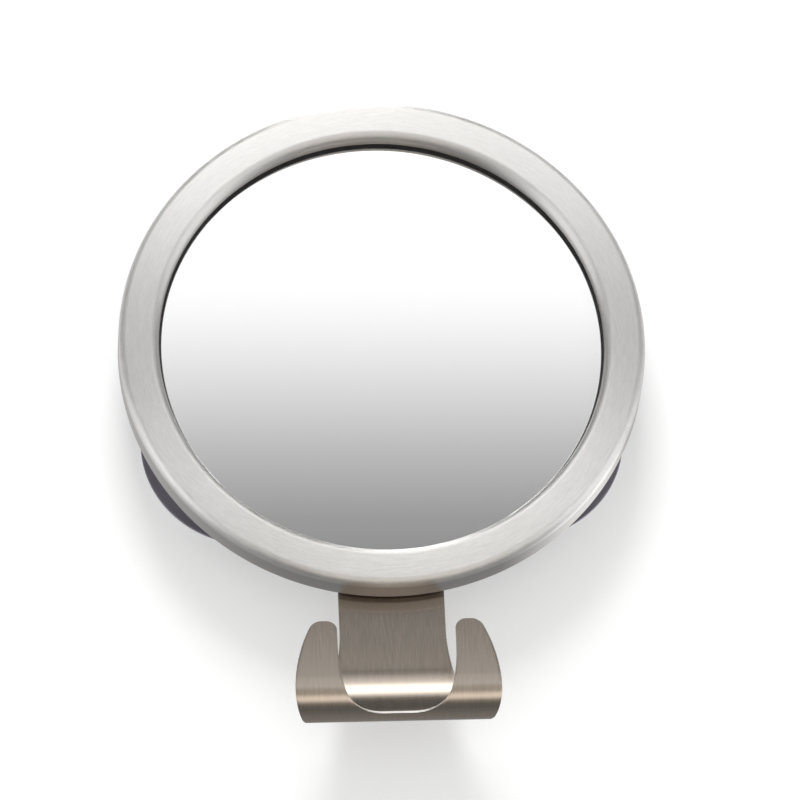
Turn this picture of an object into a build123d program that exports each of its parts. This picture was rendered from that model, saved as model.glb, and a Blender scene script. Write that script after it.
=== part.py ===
from build123d import *
import math
import os

# Fogless shower mirror, millimetres.
# The wall is the plane y = 0 and the mirror looks along -Y, with +Z up.
# The origin lies on the axis of the round frame, in the plane of the suction cup rims.

os.makedirs("parts", exist_ok=True)

# Every cut runs past the solid by this much
overrun = 5.0

# Ring frame: one pressed stainless sheet, rolled in at the front and hemmed behind
frame_radius = 75.0
frame_width = 11.6
frame_sheet = 0.8
frame_edge_inner_radius = 1.5
frame_hem_width = 2.4
frame_hem_inner_radius = 0.4
lip_slant = 0.7
lip_roll_inner_radius = 1.7
lip_depth = 4.0
lip_land = 1.0

# Mirror stack, from the lip of the frame towards the wall
seal_lip = 0.2
seal_slant = 0.5
seal_thickness = 1.5
mirror_overlap = 2.6
mirror_thickness = 2.0
film_thickness = 0.15
film_margin = 0.1
tape_margin = 6.0
tape_thickness = 0.6

# Mirror tray: moulded disc that fills the frame from behind
tray_clearance = 0.3
tray_floor = 1.1
tray_rim_wall = 1.6
tray_pocket_wall = 1.5
tray_rib_thickness = 1.2
tray_rib_height = 1.6
tray_rib_inner_radius = 14.0
tray_rib_count = 12
hook_boss_radius = 4.0

# Back cover: shallow dish screwed to the tray
cover_inset = 7.0
cover_wall = 1.6
cover_edge_radius = 2.0
cover_screw_inset = 7.0
cover_screw_count = 6
cup_seat_radius = 11.0
cup_seat_depth = 0.4

# Self-tapping screws
screw_shank_radius = 1.25
screw_head_radius = 2.6
screw_head_height = 1.4
screw_head_gap = 0.4
screw_hole_clearance = 0.25
screw_recess_radius = 0.9
screw_recess_depth = 0.8
screw_boss_radius = 3.2
cover_screw_length = 5.0

# Suction cups
cup_count = 3
cup_edge_margin = 0.2
cup_gap = 13.86
cup_height = 6.9
cup_lip_thickness = 0.9
cup_lip_width = 1.4
cup_hub_radius = 8.0
cup_hub_thickness = 2.9
cup_skirt_bow = 0.7
cup_neck_radius = 3.5
cup_head_radius = 5.2
cup_head_thickness = 2.4
cup_head_lead = 1.2
cup_clearance = 0.3

# Razor hook: one stamped and bent stainless strip
hook_sheet = 0.8
hook_gap = 1.5
hook_reach = 40.0
hook_bend_radius = 6.5
hook_sweep_radius = 30.0
hook_sweep_angle = 30.0
neck_width = 30.0
neck_straight = 10.0
base_inset = 2.2
lobe_width = 12.3
lobe_height = 27.1
lobe_tip_inset = 5.6
lobe_tip_outer_share = 0.3
lobe_tip_inner_share = 0.43
lobe_side_radius = 43.0
notch_width = 33.2
notch_corner_radius = 12.5
notch_floor_angle = 25.0
hook_tab_margin = 9.0
hook_tab_corner_radius = 3.0
hook_screw_spacing = 17.0
hook_screw_inset = 12.0
hook_screw_length = 3.6
hook_slot_clearance = 0.3
stamping_view_angle = 60.0

# Radii that follow the frame
opening_radius = frame_radius - frame_width
seal_front_radius = opening_radius - seal_lip
seal_inner_radius = seal_front_radius - seal_slant
mirror_radius = opening_radius + mirror_overlap
pocket_radius = mirror_radius + tray_clearance
tray_radius = frame_radius - frame_sheet - tray_clearance
cover_radius = frame_radius - cover_inset
cover_screw_circle = cover_radius - cover_screw_inset
cup_spread = math.sin(math.pi / cup_count)
cup_radius = ((frame_radius - cup_edge_margin) * cup_spread - cup_gap / 2) / (1 + cup_spread)
cup_circle_radius = frame_radius - cup_edge_margin - cup_radius
hook_drop = frame_radius + hook_reach
hook_screw_drop = cover_radius - hook_screw_inset
hook_tab_top = hook_screw_drop - hook_tab_margin
lobe_span = notch_width + 2 * lobe_width
base_width = lobe_span - 2 * base_inset

# Places along the axis of the frame, from the wall back to the front
cover_back_y = -cup_height
cover_plate_y = cover_back_y - cover_wall
hook_back_y = cover_plate_y - screw_head_gap - screw_head_height
hook_y = hook_back_y - hook_sheet
frame_back_y = hook_y - hook_gap
tray_back_y = frame_back_y - frame_sheet
tray_y = tray_back_y - tray_floor
tape_y = tray_y - tape_thickness
mirror_y = tape_y - mirror_thickness
seal_y = mirror_y - seal_thickness
front_y = seal_y - lip_depth
cover_depth = cover_back_y - tray_back_y

# Places of the suction cups and of the screws
cup_angles = [90 + 360 / cup_count * turn for turn in range(cup_count)]
cup_names = ("suction_cup_top", "suction_cup_left", "suction_cup_right")
cup_places = [
    (cup_circle_radius * math.cos(math.radians(angle)), cup_circle_radius * math.sin(math.radians(angle)))
    for angle in cup_angles
]
hook_screw_places = [(-hook_screw_spacing / 2, -hook_screw_drop), (hook_screw_spacing / 2, -hook_screw_drop)]


def facing_wall(y):
    """A plane at depth y, with X across, Z up and extrusion towards the wall when negative."""
    return Plane.XZ.offset(-y)


# Ring frame: the rolled section is turned about the axis of the mirror
with BuildPart() as ring_frame:
    with BuildSketch(Plane.XY):
        with BuildLine():
            FilletPolyline(
                (frame_radius - frame_hem_width, frame_back_y),
                (frame_radius, frame_back_y),
                (frame_radius, front_y),
                (opening_radius + lip_slant, front_y),
                (opening_radius, seal_y - lip_land),
                (opening_radius, seal_y),
                radius=(
                    frame_hem_inner_radius + frame_sheet,
                    frame_edge_inner_radius + frame_sheet,
                    lip_roll_inner_radius + frame_sheet,
                    lip_roll_inner_radius + frame_sheet,
                ),
            )
            offset(amount=frame_sheet, side=Side.RIGHT)
        make_face()
    revolve(axis=Axis.Y)

# Black seal between the rolled lip and the mirror, with a sloping inner face that shows
with BuildPart() as mirror_seal:
    with BuildSketch(Plane.XY):
        with BuildLine():
            Polyline(
                (seal_front_radius, seal_y),
                (mirror_radius, seal_y),
                (mirror_radius, mirror_y),
                (seal_inner_radius, mirror_y),
                close=True,
            )
        make_face()
    revolve(axis=Axis.Y)

# Silvered plate with ground edges
with BuildPart() as mirror_plate:
    with BuildSketch(facing_wall(mirror_y)):
        Circle(mirror_radius)
    extrude(amount=-mirror_thickness)
    chamfer(mirror_plate.edges(), length=film_thickness)

# Clear film that keeps the plate from fogging
with BuildPart() as antifog_film:
    with BuildSketch(facing_wall(mirror_y)):
        Circle(seal_inner_radius - film_margin)
    extrude(amount=film_thickness)

# Double-sided foam tape behind the plate
with BuildPart() as mirror_tape:
    with BuildSketch(facing_wall(tape_y)):
        Circle(mirror_radius - tape_margin)
    extrude(amount=-tape_thickness)

# Mirror tray: floor, pocket wall round the plate, rim inside the frame, ribs and screw bosses
with BuildPart() as mirror_tray:
    with BuildSketch(Plane.XY):
        with BuildLine():
            Polyline(
                (0, tray_y),
                (pocket_radius, tray_y),
                (pocket_radius, mirror_y),
                (pocket_radius + tray_pocket_wall, mirror_y),
                (pocket_radius + tray_pocket_wall, tray_y),
                (tray_radius - tray_rim_wall, tray_y),
                (tray_radius - tray_rim_wall, mirror_y),
                (tray_radius, mirror_y),
                (tray_radius, tray_back_y - frame_hem_inner_radius),
                (tray_radius - frame_hem_inner_radius, tray_back_y),
                (0, tray_back_y),
                close=True,
            )
        make_face()
    revolve(axis=Axis.Y)
    with BuildSketch(facing_wall(tray_back_y)):
        with PolarLocations(cover_screw_circle, cover_screw_count):
            Circle(screw_boss_radius)
    extrude(amount=-(cover_plate_y - tray_back_y))
    with BuildSketch(facing_wall(tray_back_y)):
        with Locations(*hook_screw_places):
            Circle(hook_boss_radius)
    extrude(amount=-(hook_y - tray_back_y))
    rib_length = cover_screw_circle - tray_rib_inner_radius
    with BuildSketch(facing_wall(tray_back_y)):
        with PolarLocations(tray_rib_inner_radius + rib_length / 2, tray_rib_count):
            Rectangle(rib_length, tray_rib_thickness)
        Circle(tray_rib_inner_radius + tray_rib_thickness / 2)
        Circle(tray_rib_inner_radius - tray_rib_thickness / 2, mode=Mode.SUBTRACT)
    extrude(amount=-tray_rib_height)
    with BuildSketch(facing_wall(cover_plate_y)):
        with PolarLocations(cover_screw_circle, cover_screw_count):
            Circle(screw_shank_radius)
    extrude(amount=cover_screw_length - cover_wall, mode=Mode.SUBTRACT)
    with BuildSketch(facing_wall(hook_y)):
        with Locations(*hook_screw_places):
            Circle(screw_shank_radius)
    extrude(amount=hook_screw_length - hook_sheet, mode=Mode.SUBTRACT)

# Back cover: dish with a slot for the hook, seats and holes for the cups
with BuildPart() as back_cover:
    with BuildSketch(facing_wall(tray_back_y)):
        Circle(cover_radius)
    extrude(amount=-cover_depth)
    fillet(back_cover.faces().sort_by(Axis.Y)[-1].edges(), radius=cover_edge_radius)
    with BuildSketch(facing_wall(tray_back_y)):
        Circle(cover_radius - cover_wall)
    extrude(amount=-(cover_depth - cover_wall), mode=Mode.SUBTRACT)
    with BuildSketch(facing_wall(hook_y - hook_slot_clearance)):
        with Locations((0, -hook_tab_top)):
            Rectangle(neck_width + 2 * hook_slot_clearance, cover_radius, align=(Align.CENTER, Align.MAX))
    extrude(amount=-(hook_sheet + 2 * hook_slot_clearance), mode=Mode.SUBTRACT)
    with BuildSketch(facing_wall(cover_back_y)):
        with Locations(*cup_places):
            Circle(cup_seat_radius)
    extrude(amount=cup_seat_depth, mode=Mode.SUBTRACT)
    with BuildSketch(facing_wall(cover_back_y)):
        with Locations(*cup_places):
            Circle(cup_neck_radius + cup_clearance)
        with PolarLocations(cover_screw_circle, cover_screw_count):
            Circle(screw_shank_radius + screw_hole_clearance)
    extrude(amount=cover_wall, mode=Mode.SUBTRACT)


def screw_group(places, head_y, length):
    """Pan-head screws driven from the wall side, heads seated at head_y."""
    with BuildPart() as group:
        with BuildSketch(facing_wall(head_y)):
            with Locations(*places):
                Circle(screw_shank_radius)
        extrude(amount=length)
        with BuildSketch(facing_wall(head_y)):
            with Locations(*places):
                Circle(screw_head_radius)
        extrude(amount=-screw_head_height)
        head_faces = group.faces().sort_by(Axis.Y)[-len(places):]
        fillet(head_faces.edges(), radius=screw_head_height / 2)
        with BuildSketch(facing_wall(head_y + screw_head_height)):
            with Locations(*places):
                RegularPolygon(screw_recess_radius, 4)
        extrude(amount=screw_recess_depth, mode=Mode.SUBTRACT)
    return group.part


# Screws of the cover and of the hook
cover_screw_places = [
    (
        cover_screw_circle * math.cos(2 * math.pi * turn / cover_screw_count),
        cover_screw_circle * math.sin(2 * math.pi * turn / cover_screw_count),
    )
    for turn in range(cover_screw_count)
]
cover_screws = screw_group(cover_screw_places, cover_back_y, cover_screw_length)
hook_screws = screw_group(hook_screw_places, hook_back_y, hook_screw_length)

# Profile of the razor hook in side view: a gentle sweep into a tight bend
hook_bottom_z = -hook_drop
bend_outer = hook_bend_radius + hook_sheet
sweep_outer = hook_sweep_radius + hook_sheet
sweep = math.radians(hook_sweep_angle)
bend_z = hook_bottom_z + bend_outer
bend_y = hook_y - hook_sweep_radius + (hook_sweep_radius - hook_bend_radius) * math.cos(sweep)
sweep_start_z = bend_z + (hook_sweep_radius - hook_bend_radius) * math.sin(sweep)
lobe_tip_z = hook_bottom_z + lobe_height
view_sine = math.sin(math.radians(stamping_view_angle))
view_cosine = math.cos(math.radians(stamping_view_angle))
bend_origin = (0, bend_y, hook_bottom_z)
neck_view = Plane(origin=bend_origin, x_dir=(1, 0, 0), z_dir=(0, -view_cosine, view_sine))
lobe_view = Plane(origin=bend_origin, x_dir=(1, 0, 0), z_dir=(0, -view_cosine, -view_sine))

# Neck of the hook: tab, straight neck and flare down to the foot of the bend
flare_top = (hook_back_y - bend_y) * view_sine + (hook_reach - neck_straight) * view_cosine
flare_growth = (base_width - neck_width) / 2
flare_shares = ((0.11, 0.77), (0.69, 0.30))
with BuildPart() as hook_neck:
    with BuildSketch(Plane.YZ):
        with BuildLine():
            neck_line = Line((hook_back_y, -hook_tab_top), (hook_back_y, sweep_start_z))
            sweep_arc = JernArc(neck_line @ 1, neck_line % 1, sweep_outer, -hook_sweep_angle)
            JernArc(sweep_arc @ 1, sweep_arc % 1, bend_outer, hook_sweep_angle - 90)
            offset(amount=hook_sheet, side=Side.RIGHT)
        make_face()
    extrude(amount=lobe_span / 2, both=True)
    with BuildSketch(neck_view):
        with BuildLine():
            edge = Spline(
                (neck_width / 2, flare_top),
                *[(neck_width / 2 + flare_growth * x, flare_top * v) for x, v in flare_shares],
                (base_width / 2, 0),
                tangents=((0, -1), (1 / 3, -1)),
            )
            Line(edge @ 1, (base_width / 2, -bend_outer))
            Line((base_width / 2, -bend_outer), (0, -bend_outer))
            Line((0, -bend_outer), (0, hook_drop))
            Line((0, hook_drop), (neck_width / 2, hook_drop))
            Line((neck_width / 2, hook_drop), edge @ 0)
        make_face()
        mirror(about=Plane.YZ)
    extrude(amount=hook_drop, both=True, mode=Mode.INTERSECT)
    tab_corners = hook_neck.edges().filter_by(Axis.Y).group_by(Axis.Z)[-1]
    fillet(tab_corners, radius=hook_tab_corner_radius)
    with BuildSketch(facing_wall(hook_back_y)):
        with Locations(*hook_screw_places):
            Circle(screw_shank_radius + screw_hole_clearance)
    extrude(amount=hook_sheet, mode=Mode.SUBTRACT)

# Lobes of the hook: the front half of the bend, two rounded lobes and the notch between them
lobe_start_height = bend_outer * (view_sine + view_cosine)
lobe_tip_width = lobe_width - lobe_tip_inset
lobe_tip_x = notch_width / 2 + lobe_tip_width
notch_angle = math.radians(notch_floor_angle)
notch_floor = bend_outer * (math.sin(notch_angle) * view_sine + (1 - math.cos(notch_angle)) * view_cosine)
with BuildPart() as hook_lobes:
    with BuildSketch(Plane.YZ):
        with BuildLine():
            bend_arc = JernArc((bend_y, hook_bottom_z), (-1, 0), bend_outer, -90)
            Line(bend_arc @ 1, (bend_y - bend_outer, lobe_tip_z))
            offset(amount=hook_sheet, side=Side.RIGHT)
        make_face()
    extrude(amount=lobe_span / 2, both=True)
    with BuildSketch(Plane.XZ.offset(-bend_y)):
        with BuildLine():
            Line((0, lobe_tip_z), (lobe_tip_x, lobe_tip_z))
            RadiusArc((lobe_tip_x, lobe_tip_z), (lobe_span / 2, bend_z), lobe_side_radius)
            Line((lobe_span / 2, bend_z), (lobe_span / 2, hook_bottom_z - overrun))
            Line((lobe_span / 2, hook_bottom_z - overrun), (0, hook_bottom_z - overrun))
            Line((0, hook_bottom_z - overrun), (0, lobe_tip_z))
        make_face()
        mirror(about=Plane.YZ)
    extrude(amount=hook_drop, both=True, mode=Mode.INTERSECT)
    with BuildSketch(lobe_view):
        with BuildLine():
            edge = Spline(
                (base_width / 2, 0),
                (lobe_span / 2, lobe_start_height),
                tangents=((1 / 3, 1), (0, 1)),
            )
            Line(edge @ 1, (lobe_span / 2, hook_drop))
            Line((lobe_span / 2, hook_drop), (0, hook_drop))
            Line((0, hook_drop), (0, -bend_outer))
            Line((0, -bend_outer), (base_width / 2, -bend_outer))
            Line((base_width / 2, -bend_outer), edge @ 0)
        make_face()
        mirror(about=Plane.YZ)
    extrude(amount=hook_drop, both=True, mode=Mode.INTERSECT)
    with BuildSketch(lobe_view) as notch:
        with Locations((0, notch_floor)):
            Rectangle(notch_width, hook_drop, align=(Align.CENTER, Align.MIN))
        fillet(notch.vertices().group_by(Axis.Y)[0], radius=notch_corner_radius)
    extrude(amount=hook_drop, both=True, mode=Mode.SUBTRACT)
    tip_edges = hook_lobes.edges().filter_by(Axis.Y).group_by(Axis.Z)[-1].sort_by(Axis.X)
    fillet(tip_edges[1:3], radius=lobe_tip_width * lobe_tip_inner_share)
    tip_edges = hook_lobes.edges().filter_by(Axis.Y).group_by(Axis.Z)[-1].sort_by(Axis.X)
    fillet([tip_edges[0], tip_edges[-1]], radius=lobe_tip_width * lobe_tip_outer_share)

# Razor hook: neck and lobes are one bent strip
with BuildPart() as razor_hook:
    add(hook_neck.part)
    add(hook_lobes.part)

# Suction cups: moulded in one piece with a mushroom head held in the cover
hub_y = cover_back_y - cup_seat_depth + cup_clearance
neck_top_y = cover_plate_y - cup_clearance
head_y = neck_top_y - cup_head_thickness
hub_top_y = hub_y + cup_hub_thickness
lip_inner_radius = cup_radius - cup_lip_width
cups = []
for cup_name, (cup_x, cup_z) in zip(cup_names, cup_places):
    cup_axis = Axis((cup_x, 0, cup_z), (0, 1, 0))
    with BuildPart() as suction_cup:
        with BuildSketch(Plane(origin=(cup_x, 0, cup_z), x_dir=(1, 0, 0), z_dir=(0, 0, 1))):
            with BuildLine():
                Polyline(
                    (lip_inner_radius, 0),
                    (cup_radius, 0),
                    (cup_radius, -cup_lip_thickness),
                    (lip_inner_radius, -cup_lip_thickness),
                )
                SagittaArc((lip_inner_radius, -cup_lip_thickness), (cup_hub_radius, hub_y), cup_skirt_bow)
                Polyline(
                    (cup_hub_radius, hub_y),
                    (cup_neck_radius, hub_y),
                    (cup_neck_radius, neck_top_y),
                    (cup_head_radius, neck_top_y),
                    (cup_head_radius - cup_head_lead, head_y),
                    (0, head_y),
                    (0, hub_top_y),
                    (cup_hub_radius, hub_top_y),
                )
                SagittaArc((cup_hub_radius, hub_top_y), (lip_inner_radius, 0), -cup_skirt_bow)
            make_face()
        revolve(axis=cup_axis)
    suction_cup.part.label = cup_name
    cups.append(suction_cup.part)

ring_frame.part.label = "ring_frame"
export_step(ring_frame.part, "parts/ring_frame.step")
mirror_seal.part.label = "mirror_seal"
export_step(mirror_seal.part, "parts/mirror_seal.step")
antifog_film.part.label = "antifog_film"
export_step(antifog_film.part, "parts/antifog_film.step")
mirror_plate.part.label = "mirror_plate"
export_step(mirror_plate.part, "parts/mirror_plate.step")
mirror_tape.part.label = "mirror_tape"
export_step(mirror_tape.part, "parts/mirror_tape.step")
mirror_tray.part.label = "mirror_tray"
export_step(mirror_tray.part, "parts/mirror_tray.step")
back_cover.part.label = "back_cover"
export_step(back_cover.part, "parts/back_cover.step")
cover_screws.label = "cover_screws"
export_step(cover_screws, "parts/cover_screws.step")
hook_screws.label = "hook_screws"
export_step(hook_screws, "parts/hook_screws.step")
razor_hook.part.label = "razor_hook"
export_step(razor_hook.part, "parts/razor_hook.step")
for cup in cups:
    export_step(cup, f"parts/{cup.label}.step")
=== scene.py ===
import math

import bmesh
import bpy
from mathutils import Matrix, Vector


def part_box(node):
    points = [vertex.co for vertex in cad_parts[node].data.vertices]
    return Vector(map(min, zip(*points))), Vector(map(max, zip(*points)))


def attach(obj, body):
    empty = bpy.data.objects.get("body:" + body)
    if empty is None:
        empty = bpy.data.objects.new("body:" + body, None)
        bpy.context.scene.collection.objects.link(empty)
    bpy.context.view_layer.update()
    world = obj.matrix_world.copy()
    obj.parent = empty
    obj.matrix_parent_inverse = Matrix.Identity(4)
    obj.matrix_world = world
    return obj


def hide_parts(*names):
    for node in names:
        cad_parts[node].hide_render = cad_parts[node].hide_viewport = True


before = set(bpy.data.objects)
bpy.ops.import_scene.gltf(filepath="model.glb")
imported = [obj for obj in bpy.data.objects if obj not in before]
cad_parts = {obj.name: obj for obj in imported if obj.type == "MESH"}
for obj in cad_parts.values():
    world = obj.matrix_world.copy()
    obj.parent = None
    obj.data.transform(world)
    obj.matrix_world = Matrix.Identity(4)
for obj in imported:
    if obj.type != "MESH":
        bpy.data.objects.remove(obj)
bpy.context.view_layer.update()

# Ring frame
# One pressed ring of 0.8 mm stainless sheet, rolled in at the front and hemmed behind the mirror.
# A belt brushed it while it turned, so its fine lines run round the circle. It is duller behind the front.
MM = 0.001
ring_low, ring_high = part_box("ring_frame")
seal_low, seal_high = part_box("mirror_seal")
frame_radius = ring_high.x
front_y = ring_low.y
frame_back_y = ring_high.y
lip_end_y = seal_low.y
frame_sheet = 0.8 * MM
lip_radius = 63.4 * MM
lip_slant = 0.7 * MM
lip_land = 1.0 * MM
lip_roll = 2.5 * MM
edge_roll = 2.3 * MM
hem_width = 2.4 * MM
hem_roll = 1.2 * MM
darkening_start = 1.3 * MM
darkening_end = 2.9 * MM
ring_scratch = 0.04 * MM


def arc_corner(before, corner, after, radius, step):
    """Points of the arc that rounds one corner of an outline, or the corner itself if it is sharp."""
    towards = (before - corner).normalized()
    away = (after - corner).normalized()
    if radius == 0 or abs(towards.dot(away)) > 0.9999:
        return [corner]
    half = towards.angle(away) / 2
    centre = corner + (towards + away).normalized() * radius / math.sin(half)
    start = corner + towards * radius / math.tan(half) - centre
    end = corner + away * radius / math.tan(half) - centre
    turn = start.angle_signed(end)
    count = max(2, math.ceil(abs(turn) / step))
    points = []
    for k in range(count + 1):
        swung = start.copy()
        swung.rotate(Matrix.Rotation(-turn * k / count, 2))
        points.append(centre + swung)
    return points


def rounded(corners, closed=True, step=math.radians(5)):
    """An outline through corners given as (across, along, rounding), with each rounding drawn as an arc."""
    places = [Vector(corner[:2]) for corner in corners]
    outline = []
    for k, corner in enumerate(corners):
        if not closed and k in (0, len(corners) - 1):
            outline.append(places[k])
            continue
        after = places[(k + 1) % len(corners)]
        outline += arc_corner(places[k - 1], places[k], after, corner[2], step)
    return outline


def beside(line, distance):
    """The line moved sideways by a distance, for the second face of a bent sheet."""
    moved = []
    for k, point in enumerate(line):
        before = (point - line[k - 1]).normalized() if k else None
        after = (line[k + 1] - point).normalized() if k + 1 < len(line) else None
        heading = ((before or after) + (after or before)).normalized()
        stretch = 1 / heading.dot(before or after)
        moved.append(point + Vector((-heading.y, heading.x)) * distance * stretch)
    return moved


def mesh_piece(name, points, faces, sharp=40):
    """A smooth-shaded object from points and faces, doubles merged, normals outwards, hard edges kept."""
    mesh = bpy.data.meshes.new(name)
    mesh.from_pydata(points, [], faces)
    work = bmesh.new()
    work.from_mesh(mesh)
    bmesh.ops.remove_doubles(work, verts=work.verts, dist=1e-7)
    bmesh.ops.recalc_face_normals(work, faces=work.faces)
    work.to_mesh(mesh)
    work.free()
    mesh.shade_smooth()
    mesh.set_sharp_from_angle(angle=math.radians(sharp))
    piece = bpy.data.objects.new(name, mesh)
    bpy.context.scene.collection.objects.link(piece)
    return piece


def turned(name, outline, centre=(0.0, 0.0), steps=360, sharp=40):
    """Turns a closed outline of (radius, y) points about a line along Y through centre (x, z)."""
    points = []
    for k in range(steps):
        angle = 2 * math.pi * k / steps
        for radius, y in outline:
            points.append((centre[0] + radius * math.cos(angle), y, centre[1] + radius * math.sin(angle)))
    count = len(outline)
    faces = []
    for k in range(steps):
        here, there = k * count, (k + 1) % steps * count
        for i in range(count):
            j = (i + 1) % count
            if outline[i][0] == 0 and outline[j][0] == 0:
                continue
            corners = [here + i, here + j, there + j, there + i]
            if outline[j][0] == 0:
                corners.pop(2)
            if outline[i][0] == 0:
                corners.pop(3)
            faces.append(corners)
    return mesh_piece(name, points, faces, sharp)


def linear(code):
    """The linear colour of an sRGB hex value."""
    parts = [int(code[k : k + 2], 16) / 255 for k in (1, 3, 5)]
    return tuple(p / 12.92 if p <= 0.04045 else ((p + 0.055) / 1.055) ** 2.4 for p in parts) + (1.0,)


def add(tree, kind, inputs=None, **settings):
    """Adds a node with its settings, and fills its sockets with values or with other nodes' outputs."""
    node = tree.nodes.new(kind)
    for name, value in settings.items():
        setattr(node, name, value)
    for socket, value in (inputs or {}).items():
        if isinstance(value, bpy.types.NodeSocket):
            tree.links.new(value, node.inputs[socket])
        else:
            node.inputs[socket].default_value = value
    return node


def new_material(name, **sockets):
    """A node material with one shader, whose sockets are given by name with _ for a space."""
    material = bpy.data.materials.new(name)
    material.use_nodes = True
    tree = material.node_tree
    tree.nodes.clear()
    values = {socket.replace("_", " "): value for socket, value in sockets.items()}
    shader = add(tree, "ShaderNodeBsdfPrincipled", values)
    add(tree, "ShaderNodeOutputMaterial", {"Surface": shader.outputs["BSDF"]})
    return material, tree, shader


fine_share, broad_share = 1.7, 0.3
weakest, strongest = 0.7, 1.3
band_width, band_reach = 6.25, 2.5


def brush(tree, shader, pattern, pale, deep, roughness, scratch):
    """Brushed lines over faint broader bands: pattern's Z counts the lines, X and Y run along them."""
    fine = add(
        tree, "ShaderNodeTexNoise", {"Vector": pattern, "Scale": 1.0, "Detail": 4.0, "Roughness": 0.75}
    )
    wide = add(
        tree,
        "ShaderNodeVectorMath",
        {0: pattern, 1: (band_reach, band_reach, band_width)},
        operation="DIVIDE",
    )
    broad = add(
        tree, "ShaderNodeTexNoise", {"Vector": wide.outputs[0], "Scale": 1.0, "Detail": 2.0, "Roughness": 0.5}
    )
    faint = add(tree, "ShaderNodeMath", {0: broad.outputs["Fac"], 1: broad_share}, operation="MULTIPLY")
    both = add(
        tree,
        "ShaderNodeMath",
        {0: fine.outputs["Fac"], 1: fine_share, 2: faint.outputs[0]},
        operation="MULTIPLY_ADD",
    )
    strength = add(
        tree, "ShaderNodeMapRange", {"Value": both.outputs[0], "From Min": weakest, "From Max": strongest}
    )
    colour = add(
        tree,
        "ShaderNodeMix",
        {"Factor": strength.outputs[0], "A": linear(deep), "B": linear(pale)},
        data_type="RGBA",
    )
    tree.links.new(colour.outputs["Result"], shader.inputs["Base Color"])
    dull = add(
        tree,
        "ShaderNodeMapRange",
        {"Value": strength.outputs[0], "To Min": roughness[0], "To Max": roughness[1]},
    )
    tree.links.new(dull.outputs[0], shader.inputs["Roughness"])
    grain = add(tree, "ShaderNodeBump", {"Height": fine.outputs["Fac"], "Distance": scratch})
    tree.links.new(grain.outputs["Normal"], shader.inputs["Normal"])


# Real brushed lines are about a tenth as wide. These are drawn coarser, so that they show.
line_width = 0.3 * MM
line_reach = 0.06
ring_steel, tree, shader = new_material(
    "brushed_stainless_ring", Metallic=1.0, Anisotropic=0.9, Anisotropic_Rotation=0.25
)
place = add(tree, "ShaderNodeTexCoord").outputs["Object"]
apart = add(tree, "ShaderNodeSeparateXYZ", {0: place})
flat_place = add(tree, "ShaderNodeCombineXYZ", {"X": apart.outputs["X"], "Z": apart.outputs["Z"]})
radius = add(tree, "ShaderNodeVectorMath", {0: flat_place.outputs[0]}, operation="LENGTH")
heading = add(tree, "ShaderNodeVectorMath", {0: flat_place.outputs[0]}, operation="NORMALIZE")
heading_apart = add(tree, "ShaderNodeSeparateXYZ", {0: heading.outputs[0]})
section = add(
    tree, "ShaderNodeMath", {0: radius.outputs["Value"], 1: apart.outputs["Y"]}, operation="SUBTRACT"
)
lines = add(tree, "ShaderNodeMath", {0: section.outputs[0], 1: line_width}, operation="DIVIDE")
turn_x = add(tree, "ShaderNodeMath", {0: heading_apart.outputs["X"], 1: line_reach}, operation="DIVIDE")
turn_z = add(tree, "ShaderNodeMath", {0: heading_apart.outputs["Z"], 1: line_reach}, operation="DIVIDE")
ring_pattern = add(
    tree, "ShaderNodeCombineXYZ", {"X": turn_x.outputs[0], "Y": turn_z.outputs[0], "Z": lines.outputs[0]}
)
brush(tree, shader, ring_pattern.outputs[0], "#e7e6e4", "#d7d6d4", (0.33, 0.39), ring_scratch)
polished = shader.inputs["Base Color"].links[0].from_socket
# The steel is darker on the walls behind the front.
depth = add(
    tree,
    "ShaderNodeMapRange",
    {"Value": apart.outputs["Y"], "From Min": front_y + darkening_start, "From Max": front_y + darkening_end},
)
darker_behind = add(
    tree,
    "ShaderNodeMix",
    {"Factor": depth.outputs[0], "A": polished, "B": linear("#adaba9")},
    data_type="RGBA",
)
tree.links.new(darker_behind.outputs["Result"], shader.inputs["Base Color"])
round_ring = add(tree, "ShaderNodeVectorMath", {0: (0.0, 1.0, 0.0), 1: place}, operation="CROSS_PRODUCT")
tree.links.new(round_ring.outputs[0], shader.inputs["Tangent"])

outer_face = rounded(
    [
        (frame_radius - hem_width, frame_back_y, 0),
        (frame_radius, frame_back_y, hem_roll),
        (frame_radius, front_y, edge_roll),
        (lip_radius + lip_slant, front_y, lip_roll),
        (lip_radius, lip_end_y - lip_land, lip_roll),
        (lip_radius, lip_end_y, 0),
    ],
    closed=False,
)
ring_piece = turned("ring_frame_brushed", outer_face + beside(outer_face, -frame_sheet)[::-1], steps=480)
ring_piece.data.materials.append(ring_steel)
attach(ring_piece, "mirror")
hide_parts("ring_frame")

# Mirror seal
# A moulded ring of black rubber that keeps water from the silvering. Its sloping inner face shows
# as the dark line between the rolled lip and the glass, with a dull sheen on its front corner.
seal_lip = 0.2 * MM
seal_slant = 0.5 * MM
mirror_y = seal_high.y
mirror_radius = seal_high.x
seal_corner = 0.12 * MM
skin_grain = 0.33 * MM
skin_depth = 0.01 * MM
seal_piece = turned(
    "mirror_seal_rubber",
    rounded(
        [
            (lip_radius - seal_lip - seal_slant, mirror_y, 0),
            (lip_radius - seal_lip, lip_end_y, seal_corner),
            (mirror_radius, lip_end_y, 0),
            (mirror_radius, mirror_y, 0),
        ],
        step=math.radians(20),
    ),
)
rubber, tree, shader = new_material(
    "black_nitrile_rubber", Base_Color=linear("#2b292a"), Roughness=0.55, Specular_IOR_Level=0.25
)
place = add(tree, "ShaderNodeTexCoord").outputs["Object"]
skin = add(tree, "ShaderNodeTexNoise", {"Vector": place, "Scale": 1 / skin_grain, "Detail": 2.0})
grain = add(tree, "ShaderNodeBump", {"Height": skin.outputs["Fac"], "Distance": skin_depth})
tree.links.new(grain.outputs["Normal"], shader.inputs["Normal"])
seal_piece.data.materials.append(rubber)
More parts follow.
